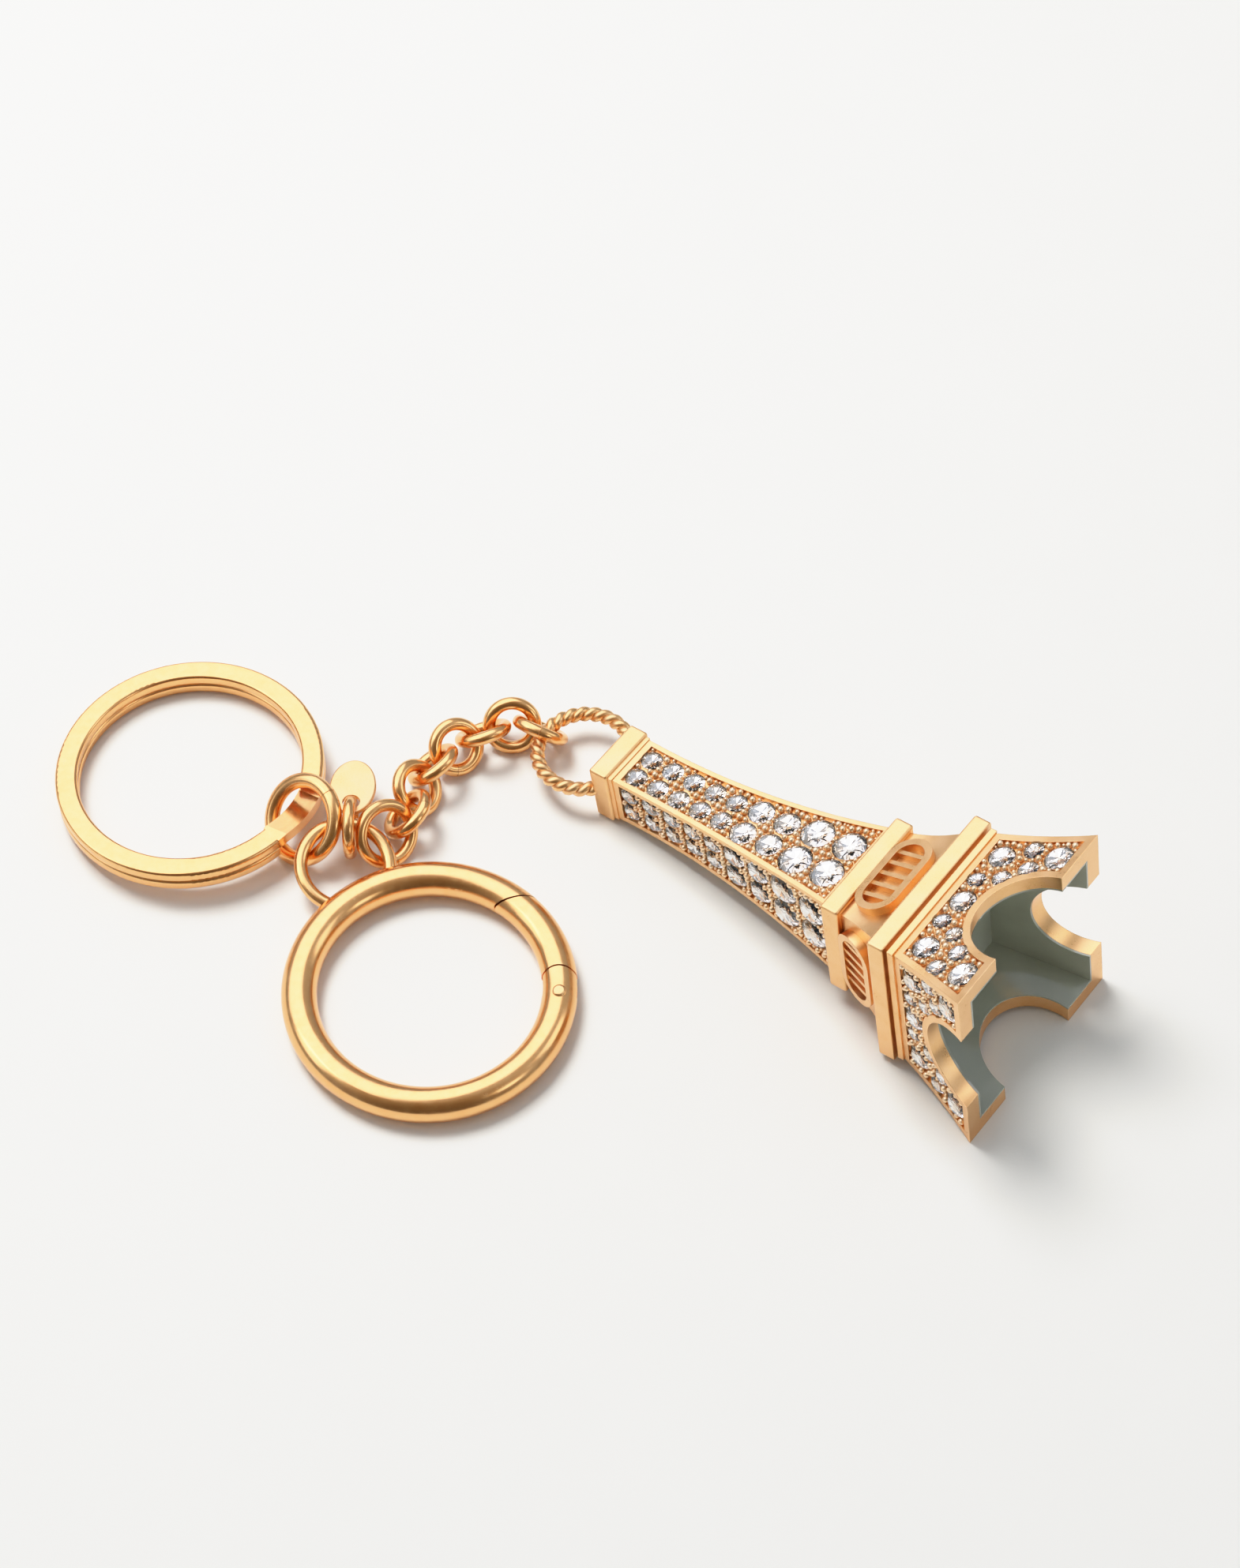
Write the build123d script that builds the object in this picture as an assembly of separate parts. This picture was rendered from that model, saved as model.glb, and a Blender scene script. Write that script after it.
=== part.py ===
from build123d import *
import os
from math import atan, atan2, cos, degrees, radians, sin

# Keychain with a lattice-style tower charm, in millimetres, laid out flat on a table.
# The table is z = 0 and the origin is the middle of the whole object's footprint on it.
# A gate ring lies on the left. Its eye carries three small rings: one for the split ring,
# one for the oval tag, and one for a chain of seven links that ends in the tower's rope bail.

# Gate ring: round wire, with a gate that turns inwards about a pin. Angles are from +X.
GATE_RING_OUTER = 34.0
GATE_WIRE = 4.12
GATE_RING_XY = (-16.2, -13.5)
PIN_ANGLE = -5.0
PIN_RADIUS = 0.8
PIN_STAND = 0.2              # how far the pin's rounded head stands above the wire
PIN_ROUND = 0.35
SEAM_RADIUS = 3.3            # the ring's rounded end at the gate's foot, about the pin
SEAM_GAP = 0.12              # round the tongue's tail
GATE_GAP = 0.2               # at the gate's tip and foot
GATE_TIP_OUTER = 44.5        # the slanted joint at the gate's tip, on the outside
GATE_TIP_INNER = 57.0        # and on the inside
TONGUE_THICKNESS = 1.1
SLOT_WIDTH = 1.3
TAIL_RADIUS = 1.6            # the tongue's rounded tail beyond the pin
TONGUE_HALF = 1.0            # half the tongue's width between its tail and the gate
PIN_CLEARANCE = 0.06         # between the pin and its hole in the tongue
PIN_CHAMFER = 0.12
SPRING_RADIUS = 0.7
SPRING_WIRE = 0.32
SPRING_LENGTH = 3.6
SPRING_TURNS = 6
SPRING_PLAY = 0.2            # between the spring and its bore

# Eye: a loop of thinner wire soldered on the outside of the gate ring, tilted up.
EYE_RADIUS = 5.2
EYE_WIRE = 1.6
EYE_DIRECTION = 122.5
EYE_REACH = 19.2             # from the gate ring's centre to the eye's centre
EYE_ROOT = 16.0              # where the tilt starts, from the gate ring's centre
EYE_ROOT_HEIGHT = 2.39
EYE_TILT = 14.0

# Rings on the eye: centre, direction of the ring's axis, radius to the wire's middle, wire.
SPLIT_JUMP_RING = ((-31.6, 8.34, 4.15), (-0.549, -0.428, 0.718), 4.65, 1.8)
TAG_RING = ((-26.0, 7.33, 4.02), (1.0, -0.016, 0.016), 3.05, 1.4)
CHAIN_RING = ((-21.81, 6.88, 3.37), (0.531, -0.558, 0.638), 3.4, 1.5)
RING_SLIT = 1.0              # degrees of open butt joint in each bent ring

# Split ring: one flat wire in two stacked coils, tilted where it lies on its jump ring.
SPLIT_OUTER = 32.0
SPLIT_WIDTH = 2.65
SPLIT_COIL = 1.5
SPLIT_ROUND = 0.45
SPLIT_CENTRE = (-45.45, 15.95, 2.62)
SPLIT_AXIS = (-0.036, 0.059, 0.998)
RAMP_START = -45.0           # where the upper coil ends
RAMP_END = -10.0             # where the lower coil starts

# Oval tag
TAG_WIDTH = 5.5
TAG_LENGTH = 8.2
TAG_THICKNESS = 0.6
TAG_HOLE = 1.05              # radius
TAG_HOLE_INSET = 1.7         # from the tag's end to the hole's middle
TAG_PLACE = 12.0             # where the tag hangs on its ring, in degrees above the far point
TAG_RUN = (0.03, 0.985, -0.12)
TAG_FACE = (0.0, 0.12, 1.0)

# Chain: seven round links, each a quarter turn from the next about the run of the chain.
# Headings are from +X: into the first link, from each link to the next, and out to the bail.
LINK_RADIUS = 2.775
LINK_WIRE = 1.55
FIRST_LINK = (-19.46, 10.03)
CHAIN_HEADINGS = (65, 74.5, 62, 43.5, 32, 16.5, -12.5, -45)
CHAIN_STEPS = (3.78, 3.75, 3.75, 3.76, 3.6, 3.48)            # from each link to the next
LINK_HEIGHTS = (2.76, 2.79, 2.77, 2.79, 2.78, 2.98, 3.05)
LINK_ROLLS = (-44, 45, -45, 45, -45, 53, -54)                # axis from upright, to the right

# Tower: lies on one edge of its base and one edge of its cap. Heights are from its feet.
TOWER_FOOT_XY = (51.4, -20.2)
TOWER_HEADING = 142.4        # from the feet to the cap
BASE_HALF = 13.5
BASE_TOP_HALF = 9.95
BASE_HEIGHT = 11.2
BASE_SAG = 0.2
BASE_WALL = 2.2
ARCH_RADIUS = 6.4
LIP = 0.9                    # plain edge round each field of stones
FIELD_DEPTH = 0.5
LINING = 0.25
LEDGE_HALF = 10.15
LEDGE_HEIGHT = 0.9
LOWER_BAND_HALF = 10.6
LOWER_BAND_HEIGHT = 2.3
GROOVE_HEIGHT = 0.3          # the groove between the ledge and the lower band
GROOVE_DEPTH = 0.5
MIDDLE_LOW_HALF = 8.95
MIDDLE_TOP_HALF = 6.8
MIDDLE_HEIGHT = 6.4
MIDDLE_SAG = 0.25
UPPER_BAND_HALF = 7.5
UPPER_BAND_HEIGHT = 2.4
SHAFT_LOW_HALF = 6.45
SHAFT_TOP_HALF = 3.62
SHAFT_SAG = 0.9
SHAFT_TOP = 56.85
SHAFT_RIM = 0.62
SHAFT_RIM_TOP = 1.3
CAP_HALF = 4.12
CAP_HEIGHT = 2.6
CAP_NECK_HALF = 3.75
CAP_NECK_HEIGHT = 0.5
BAND_ROUND = 0.35

# Ornament on each side of the middle block: an open stadium with upright bars.
ORNAMENT_WIDTH = 11.4
ORNAMENT_HEIGHT = 5.6
ORNAMENT_BAR = 0.9
ORNAMENT_STAND = 1.05        # how far it stands out of the block
ORNAMENT_ROOT = 1.0          # how deep it starts inside the block, before it is cut to fit
BALUSTER_STAND = 0.79
BALUSTER_WIDTH = 0.55
BALUSTER_SPACING = 1.7
BALUSTER_COUNT = 5

# Round crystals: half of each sits in a seat below the field's floor.
SEAT_DEPTH = 0.35
SEAT_OPEN = 0.9              # how far each seat is cut clear above the field
CROWN_PART = 0.14            # crown height over diameter
TABLE_PART = 0.6             # flat top over diameter
SHAFT_STONES = (3.9, 3.9, 3.1, 3.1, 2.5, 2.5, 2.5, 2.5, 2.5)   # diameters, from the bottom row
SHAFT_FIRST_ROW = 26.1
ROW_GAP = 0.62
COLUMN_GAP = 0.5
BASE_CENTRE_STONE = (0.0, 8.75, 3.0)                # across, up, diameter
BASE_SIDE_STONES = ((3.35, 9.25, 2.1), (4.55, 6.75, 2.2), (7.35, 8.6, 3.0), (6.75, 4.7, 2.3),
                    (9.45, 5.75, 2.3), (9.3, 2.3, 3.3))

# Rope bail: a ring of rope let into the cap's end.
BAIL_RADIUS = 5.65
BAIL_ROPE = 1.8
BAIL_REACH = 4.25            # from the cap's end to the ring's centre
BAIL_TILT = 4.0              # lifts the bail's far end

# Heights of the tower's tiers, from the feet
LOWER_BAND_Z = BASE_HEIGHT + LEDGE_HEIGHT
MIDDLE_Z = LOWER_BAND_Z + LOWER_BAND_HEIGHT
UPPER_BAND_Z = MIDDLE_Z + MIDDLE_HEIGHT
SHAFT_Z = UPPER_BAND_Z + UPPER_BAND_HEIGHT
TOWER_LENGTH = SHAFT_TOP + CAP_HEIGHT

GATE_RADIUS = (GATE_RING_OUTER - GATE_WIRE) / 2
GATE_CENTRE = Vector(*GATE_RING_XY, GATE_WIRE / 2)
TOWER_LEAN = degrees(atan2(BASE_HALF - CAP_HALF, TOWER_LENGTH))
FAR = 40.0                   # longer than anything that it cuts


def polar(radius, angle, z=0.0):
    """A point in a ring's own plane, from its radius and angle in degrees."""
    return Vector(radius * cos(radians(angle)), radius * sin(radians(angle)), z)


def tower_plane():
    """The tower's own frame: origin between its feet, Z from feet to cap, Y up from the table."""
    heading = radians(TOWER_HEADING)
    lean = radians(TOWER_LEAN)
    axis = Vector(cos(lean) * cos(heading), cos(lean) * sin(heading), -sin(lean))
    across = Vector(-sin(heading), cos(heading), 0)
    foot = Vector(*TOWER_FOOT_XY, BASE_HALF * cos(lean))
    return Plane(origin=foot, x_dir=across, z_dir=axis)


class Flare:
    """A square section whose half-width follows a shallow arc between two heights."""

    def __init__(self, low_z, low_half, high_z, high_half, sag):
        self.low_z = low_z
        self.low_half = low_half
        self.high_z = high_z
        self.high_half = high_half
        self.sag = sag

    def part_way(self, z):
        return (z - self.low_z) / (self.high_z - self.low_z)

    def half(self, z):
        t = self.part_way(z)
        return self.low_half + (self.high_half - self.low_half) * t - 4 * self.sag * t * (1 - t)

    def slope(self, z):
        t = self.part_way(z)
        run = self.high_z - self.low_z
        return (self.high_half - self.low_half - 4 * self.sag * (1 - 2 * t)) / run

    def outline(self, inset, low_z, high_z):
        """Closed outline in a vertical plane, both sides moved in by inset."""
        low = self.half(low_z) - inset
        high = self.half(high_z) - inset
        middle_z = (low_z + high_z) / 2
        middle = self.half(middle_z) - inset
        right = ThreePointArc((low, low_z), (middle, middle_z), (high, high_z))
        left = ThreePointArc((-high, high_z), (-middle, middle_z), (-low, low_z))
        top = Line((high, high_z), (-high, high_z))
        bottom = Line((-low, low_z), (low, low_z))
        return make_face([right, top, left, bottom])

    def band(self, depth, low_z, high_z):
        """Both sides' skins, from depth below the surface to well outside it."""
        height = high_z - low_z
        slab = Pos(0, (low_z + high_z) / 2) * Rectangle(2 * FAR, height)
        return slab - self.outline(depth, low_z, high_z)

    def solid(self):
        face = self.outline(0, self.low_z, self.high_z)
        along_y = extrude(Plane.XZ * face, FAR, both=True)
        along_x = extrude(Plane.YZ * face, FAR, both=True)
        return along_x & along_y


BASE_FLARE = Flare(0, BASE_HALF, BASE_HEIGHT, BASE_TOP_HALF, BASE_SAG)
MIDDLE_FLARE = Flare(MIDDLE_Z, MIDDLE_LOW_HALF, UPPER_BAND_Z, MIDDLE_TOP_HALF, MIDDLE_SAG)
SHAFT_FLARE = Flare(SHAFT_Z, SHAFT_LOW_HALF, SHAFT_TOP, SHAFT_TOP_HALF, SHAFT_SAG)


def on_face(flare, side, across, z, depth):
    """A place on one side face, depth below it, with Z pointing straight out of the face."""
    lean = degrees(atan(flare.slope(z)))
    place = Pos(flare.half(z) - depth, across, z) * Rot(0, 90 + lean, 0)
    return Rot(0, 0, 90 * side) * place


def field_cutter(flare, low_z, high_z, outline):
    """The recess in the +X and -X faces whose outline is given in the YZ plane."""
    skins = extrude(Plane.XZ * flare.band(FIELD_DEPTH, low_z, high_z), FAR, both=True)
    return skins & extrude(Plane.YZ * outline, FAR, both=True)


# Gate ring ------------------------------------------------------------------------------

def gate_sector(gap):
    """The plan of the gate's stretch of the ring, its tip held back by gap."""
    tip_outer = polar(GATE_RING_OUTER / 2, GATE_TIP_OUTER)
    tip_inner = polar(GATE_RING_OUTER / 2 - GATE_WIRE, GATE_TIP_INNER)
    along = (tip_outer - tip_inner).normalized()
    back = along.rotate(Axis.Z, -90) * gap
    outside = tip_outer + along * GATE_WIRE + back
    inside = tip_inner - along * GATE_WIRE + back
    corners = [polar(GATE_RADIUS - GATE_WIRE, PIN_ANGLE), polar(GATE_RADIUS + GATE_WIRE, PIN_ANGLE),
               polar(GATE_RING_OUTER, 20), outside, inside, polar(GATE_RADIUS / 2, 30)]
    return extrude(make_face(Polyline(*corners, close=True)), GATE_WIRE, both=True)


def at_pin(shape):
    """A shape made about the Z axis, moved to the gate's pin in the ring's own frame."""
    return Pos(polar(GATE_RADIUS, PIN_ANGLE)) * Rot(0, 0, PIN_ANGLE) * shape


def tongue_plan(radius, half_width):
    """A tail round the pin and a strip from it towards the gate, along local Y."""
    strip = Pos(0, GATE_WIRE / 2) * Rectangle(2 * half_width, GATE_WIRE)
    return Circle(radius) + strip


def gate_ring_body():
    ring = Torus(GATE_RADIUS, GATE_WIRE / 2)
    rounded_end = at_pin(Cylinder(SEAM_RADIUS, 2 * GATE_WIRE))
    body = ring - (gate_sector(0) - rounded_end) - at_pin(Cylinder(PIN_RADIUS, 2 * GATE_WIRE))
    slot = extrude(tongue_plan(TAIL_RADIUS + SEAM_GAP, GATE_WIRE), SLOT_WIDTH / 2, both=True)
    bore_length = SPRING_LENGTH + 2 * SPRING_PLAY
    bore_middle = -(TAIL_RADIUS - SPRING_PLAY + bore_length / 2)
    bore = Pos(0, bore_middle, 0) * Rot(90, 0, 0) * Cylinder(SPRING_RADIUS + SPRING_PLAY, bore_length)
    return body - at_pin(slot) - at_pin(bore)


def gate_arm():
    ring = Torus(GATE_RADIUS, GATE_WIRE / 2)
    arm = (ring & gate_sector(GATE_GAP)) - at_pin(Cylinder(SEAM_RADIUS + GATE_GAP, 2 * GATE_WIRE))
    plan = tongue_plan(TAIL_RADIUS, TONGUE_HALF)
    tongue = at_pin(extrude(plan, TONGUE_THICKNESS / 2, both=True))
    return arm + tongue - at_pin(Cylinder(PIN_RADIUS + PIN_CLEARANCE, 2 * GATE_WIRE))


def gate_pivot_pin():
    """A plain pin with a rounded head on top of the ring."""
    pin = Pos(0, 0, PIN_STAND / 2) * Cylinder(PIN_RADIUS, GATE_WIRE + PIN_STAND)
    pin = chamfer(pin.edges().sort_by(Axis.Z)[0], PIN_CHAMFER)
    return at_pin(fillet(pin.edges().sort_by(Axis.Z)[-1], PIN_ROUND))


def gate_spring():
    """A small compression spring in the ring's bore, behind the tongue's tail."""
    pitch = (SPRING_LENGTH - SPRING_WIRE) / SPRING_TURNS
    path = Helix(pitch, SPRING_LENGTH - SPRING_WIRE, SPRING_RADIUS)
    section = Plane(origin=path @ 0, z_dir=path % 0) * Circle(SPRING_WIRE / 2)
    coil = sweep(section, path=path, is_frenet=True)
    start = -(TAIL_RADIUS + 1.5 * SEAM_GAP + SPRING_WIRE / 2)
    return at_pin(Pos(0, start, 0) * Rot(90, 0, 0) * coil)


def eye_plane():
    """The eye's own frame: origin at its centre, Z along its axis, X away from the gate ring."""
    outwards = polar(1, EYE_DIRECTION)
    root = GATE_CENTRE + outwards * EYE_ROOT
    root = Vector(root.X, root.Y, EYE_ROOT_HEIGHT)
    tilt = radians(EYE_TILT)
    out = outwards * cos(tilt) + Vector(0, 0, sin(tilt))
    axis = Vector(0, 0, cos(tilt)) - outwards * sin(tilt)
    return Plane(origin=root + out * (EYE_REACH - EYE_ROOT), x_dir=out, z_dir=axis)


def ring_eye():
    """A loop of wire that ends on the gate ring's surface."""
    loop = eye_plane() * Torus(EYE_RADIUS, EYE_WIRE / 2)
    return loop - Pos(GATE_CENTRE) * Torus(GATE_RADIUS, GATE_WIRE / 2)


# Rings, split ring, tag and chain ----------------------------------------------------------

def bent_ring(centre, axis, radius, wire, slit_angle=0):
    """A ring of round wire, bent until its ends nearly meet."""
    ring = Torus(radius, wire / 2, major_angle=360 - RING_SLIT)
    return Plane(origin=centre, z_dir=axis) * Rot(0, 0, slit_angle) * ring


def split_plane():
    """The split ring's frame: Z along its axis, X square to that and level with the row's X."""
    level = Vector(1, 0, -SPLIT_AXIS[0] / SPLIT_AXIS[2])
    return Plane(origin=SPLIT_CENTRE, x_dir=level, z_dir=SPLIT_AXIS)


def split_ring():
    """Two flat coils of one wire, joined by a ramp where each coil ends."""
    radius = (SPLIT_OUTER - SPLIT_WIDTH) / 2
    level = SPLIT_COIL / 2
    ramp_turn = RAMP_END - RAMP_START
    section = Plane.XZ * (Pos(radius, 0) * RectangleRounded(SPLIT_WIDTH, SPLIT_COIL, SPLIT_ROUND))
    coil = Rot(0, 0, RAMP_END) * revolve(section, Axis.Z, 360 - ramp_turn)
    block = Plane.XZ * (Pos(radius, 0) * Rectangle(SPLIT_WIDTH, 2 * SPLIT_COIL))
    sector = Rot(0, 0, RAMP_START) * revolve(block, Axis.Z, ramp_turn)
    reach = radius * sin(radians(ramp_turn / 2))
    rise = ramp_profile(reach, level)
    slab = extrude(Plane.YZ * rise, FAR, both=True)
    ramp = sector & (Rot(0, 0, RAMP_START + ramp_turn / 2) * slab)
    return split_plane() * (Pos(0, 0, -level) * coil + Pos(0, 0, level) * coil + ramp)


def ramp_profile(reach, level):
    """The side view of the ramp: along the wire, and up, from the lower coil to the upper one."""
    low = [(reach + 1, -2 * level), (reach + 1, 0)]
    high = [(-reach - 1, 2 * level), (-reach - 1, 0)]
    slope = reach * 0.8
    rising = [(slope, 0), (-slope, 2 * level)]
    falling = [(-slope, 0), (slope, -2 * level)]
    return make_face(Polyline(*low, *rising, *high, *falling, close=True))


def tag_plane():
    """The tag's frame: origin at the middle of its hole, X along its length, Z out of its face."""
    centre, axis, radius, _ = TAG_RING
    place = radians(TAG_PLACE)
    origin = Vector(*centre) + Vector(0, cos(place), sin(place)) * radius
    return Plane(origin=origin, x_dir=TAG_RUN, z_dir=TAG_FACE)


def oval_tag():
    plate = extrude(Ellipse(TAG_LENGTH / 2, TAG_WIDTH / 2), TAG_THICKNESS / 2, both=True)
    plate = fillet(plate.edges(), 0.2)
    plate = Pos(TAG_LENGTH / 2 - TAG_HOLE_INSET, 0, 0) * plate
    return tag_plane() * (plate - Cylinder(TAG_HOLE, 2 * TAG_THICKNESS))


def chain_centres():
    """Each link's centre, worked along the chain from its first link."""
    place = Vector(*FIRST_LINK)
    places = [place]
    for step, heading in zip(CHAIN_STEPS, CHAIN_HEADINGS[1:]):
        place = place + polar(step, heading)
        places.append(place)
    return [place + Vector(0, 0, height) for place, height in zip(places, LINK_HEIGHTS)]


def link_axis(index):
    """The axis of one link: square to the chain's run, rolled about it from upright."""
    heading = (CHAIN_HEADINGS[index] + CHAIN_HEADINGS[index + 1]) / 2
    roll = radians(LINK_ROLLS[index])
    return Vector(0, 0, cos(roll)) + polar(1, heading - 90) * sin(roll)


def chain_link(index):
    return bent_ring(chain_centres()[index], link_axis(index), LINK_RADIUS, LINK_WIRE, 60 * index)


# Tower --------------------------------------------------------------------------------------

def stone_places(side):
    """Where each crystal sits on one side of the shaft, and its diameter."""
    places = []
    z = SHAFT_FIRST_ROW
    for row, diameter in enumerate(SHAFT_STONES):
        if row > 0:
            z += (SHAFT_STONES[row - 1] + diameter) / 2 + ROW_GAP
        across = (diameter + COLUMN_GAP) / 2
        for column in (-across, across):
            places.append((on_face(SHAFT_FLARE, side, column, z, FIELD_DEPTH), diameter))
    return places


def base_stone_places(side):
    """Where each crystal sits on one side of the base, and its diameter."""
    stones = [BASE_CENTRE_STONE]
    for across, up, diameter in BASE_SIDE_STONES:
        stones.append((across, up, diameter))
        stones.append((-across, up, diameter))
    return [(on_face(BASE_FLARE, side, across, up, FIELD_DEPTH), diameter)
            for across, up, diameter in stones]


def crystal(diameter):
    """A round stone: a straight girdle in its seat and a bevelled crown above it."""
    radius = diameter / 2
    crown = diameter * CROWN_PART
    girdle = Pos(0, 0, -SEAT_DEPTH / 2) * Cylinder(radius, SEAT_DEPTH)
    top = Pos(0, 0, crown / 2) * Cone(radius, radius * TABLE_PART, crown)
    return girdle + top


def seats(places):
    """Round seats for the crystals, open upwards past the curve of the field."""
    height = SEAT_DEPTH + SEAT_OPEN
    middle = height / 2 - SEAT_DEPTH
    return [place * Pos(0, 0, middle) * Cylinder(diameter / 2, height) for place, diameter in places]


def crystals(places):
    return Compound(children=[place * crystal(diameter) for place, diameter in places])


def tower_shaft():
    field_low = SHAFT_Z + SHAFT_RIM
    field_high = SHAFT_TOP - SHAFT_RIM_TOP
    outline = SHAFT_FLARE.outline(SHAFT_RIM, field_low, field_high)
    fields = field_cutter(SHAFT_FLARE, field_low, field_high, outline)
    shaft = SHAFT_FLARE.solid() - fields - Rot(0, 0, 90) * fields - cap_neck()
    for side in range(4):
        for seat in seats(stone_places(side)):
            shaft = shaft - seat
    return shaft


def square_band(half, low_z, height, rounding):
    band = Pos(0, 0, low_z + height / 2) * Box(2 * half, 2 * half, height)
    return fillet(band.edges(), rounding)


def lower_band():
    band = square_band(LOWER_BAND_HALF, LOWER_BAND_Z, LOWER_BAND_HEIGHT, BAND_ROUND)
    ledge_middle = BASE_HEIGHT + LEDGE_HEIGHT / 2
    ledge = Pos(0, 0, ledge_middle) * Box(2 * LEDGE_HALF, 2 * LEDGE_HALF, LEDGE_HEIGHT)
    waist_half = BASE_TOP_HALF - GROOVE_DEPTH
    groove = Pos(0, 0, LOWER_BAND_Z) * Box(FAR, FAR, GROOVE_HEIGHT)
    waist = Pos(0, 0, LOWER_BAND_Z) * Box(2 * waist_half, 2 * waist_half, 2 * GROOVE_HEIGHT)
    return band + ledge - (groove - waist)


def upper_band():
    return square_band(UPPER_BAND_HALF, UPPER_BAND_Z, UPPER_BAND_HEIGHT, BAND_ROUND)


def middle_block():
    return MIDDLE_FLARE.solid()


def cavity(inset):
    """The hollow of the base, its walls and ceiling moved in by inset."""
    low_half = BASE_HALF - BASE_WALL - inset
    high_half = BASE_TOP_HALF - BASE_WALL - inset
    ceiling = BASE_HEIGHT - inset
    low = Rectangle(2 * low_half, 2 * low_half)
    high = Pos(0, 0, ceiling) * Rectangle(2 * high_half, 2 * high_half)
    return loft([low, high])


def arches():
    """The two round tunnels that open the base's four sides."""
    tunnel = Rot(0, 90, 0) * Cylinder(ARCH_RADIUS, FAR)
    return tunnel + Rot(0, 0, 90) * tunnel


def tower_base():
    field_low = LIP
    field_high = BASE_HEIGHT - LIP
    outline = BASE_FLARE.outline(LIP, field_low, field_high) - Circle(ARCH_RADIUS + LIP)
    fields = field_cutter(BASE_FLARE, field_low, field_high, outline)
    base = BASE_FLARE.solid() - cavity(0) - arches() - fields - Rot(0, 0, 90) * fields
    for side in range(4):
        for seat in seats(base_stone_places(side)):
            base = base - seat
    return base


def enamel_lining():
    return cavity(0) - cavity(LINING) - arches()


def ornament(side):
    """An open stadium with upright bars, standing on one side of the middle block."""
    middle_z = (MIDDLE_Z + UPPER_BAND_Z) / 2
    outer = SlotOverall(ORNAMENT_WIDTH, ORNAMENT_HEIGHT)
    inner_width = ORNAMENT_WIDTH - 2 * ORNAMENT_BAR
    inner_height = ORNAMENT_HEIGHT - 2 * ORNAMENT_BAR
    frame = outer - SlotOverall(inner_width, inner_height)
    shape = extrude(frame, ORNAMENT_ROOT + ORNAMENT_STAND)
    for number in range(BALUSTER_COUNT):
        offset = (number - (BALUSTER_COUNT - 1) / 2) * BALUSTER_SPACING
        bar = Pos(offset, 0) * Rectangle(BALUSTER_WIDTH, inner_height + ORNAMENT_BAR)
        shape = shape + extrude(bar, ORNAMENT_ROOT + BALUSTER_STAND)
    place = on_face(MIDDLE_FLARE, side, 0, middle_z, ORNAMENT_ROOT) * Rot(0, 0, 90)
    return place * shape - middle_block()


def cap_neck():
    """The thin square step under the cap, which sits round the shaft's top."""
    middle = SHAFT_TOP - CAP_NECK_HEIGHT / 2
    return Pos(0, 0, middle) * Box(2 * CAP_NECK_HALF, 2 * CAP_NECK_HALF, CAP_NECK_HEIGHT)


def top_cap():
    return square_band(CAP_HALF, SHAFT_TOP, CAP_HEIGHT, BAND_ROUND) + cap_neck()


def bail_plane():
    """The bail's own frame within the tower's: origin at its centre, Z along its axis."""
    tilt = radians(BAIL_TILT)
    out = Vector(0, sin(tilt), cos(tilt))
    axis = Vector(0, cos(tilt), -sin(tilt))
    return Plane(origin=Vector(0, 0, TOWER_LENGTH) + out * BAIL_REACH, x_dir=out, z_dir=axis)


def rope_bail():
    loop = bail_plane() * Torus(BAIL_RADIUS, BAIL_ROPE / 2)
    below = Pos(0, 0, TOWER_LENGTH - FAR / 2) * Box(FAR, FAR, FAR)
    return loop - below


# All nodes ------------------------------------------------------------------------------------

def build():
    in_gate = Pos(GATE_CENTRE)
    nodes = {
        "gate_ring_body": in_gate * gate_ring_body(),
        "ring_eye": ring_eye(),
        "gate_arm": in_gate * gate_arm(),
        "gate_pivot_pin": in_gate * gate_pivot_pin(),
        "gate_spring": in_gate * gate_spring(),
        "split_ring": split_ring(),
        "split_jump_ring": bent_ring(*SPLIT_JUMP_RING, 20),
        "tag_ring": bent_ring(*TAG_RING, 90),
        "oval_tag": oval_tag(),
        "chain_ring": bent_ring(*CHAIN_RING, 200),
    }
    for index in range(len(LINK_ROLLS)):
        nodes[f"chain_link_{index + 1}"] = chain_link(index)
    tower = tower_plane()
    tiers = {
        "rope_bail": rope_bail(),
        "top_cap": top_cap(),
        "tower_shaft": tower_shaft(),
        "upper_band": upper_band(),
        "middle_block": middle_block(),
        "lower_band": lower_band(),
        "tower_base": tower_base(),
        "enamel_lining": enamel_lining(),
    }
    for side in range(4):
        tiers[f"side_ornament_{side + 1}"] = ornament(side)
        tiers[f"shaft_crystals_{side + 1}"] = crystals(stone_places(side))
        tiers[f"base_crystals_{side + 1}"] = crystals(base_stone_places(side))
    for name, shape in tiers.items():
        nodes[name] = tower * shape
    return nodes


def write(nodes):
    os.makedirs("parts", exist_ok=True)
    for name, shape in nodes.items():
        export_step(shape, f"parts/{name}.step")


NODES = build()
write(NODES)
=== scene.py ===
import math
import random

import bmesh
import bpy
import numpy as np
from mathutils import Matrix, Vector
from mathutils.bvhtree import BVHTree
from mathutils.kdtree import KDTree


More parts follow.
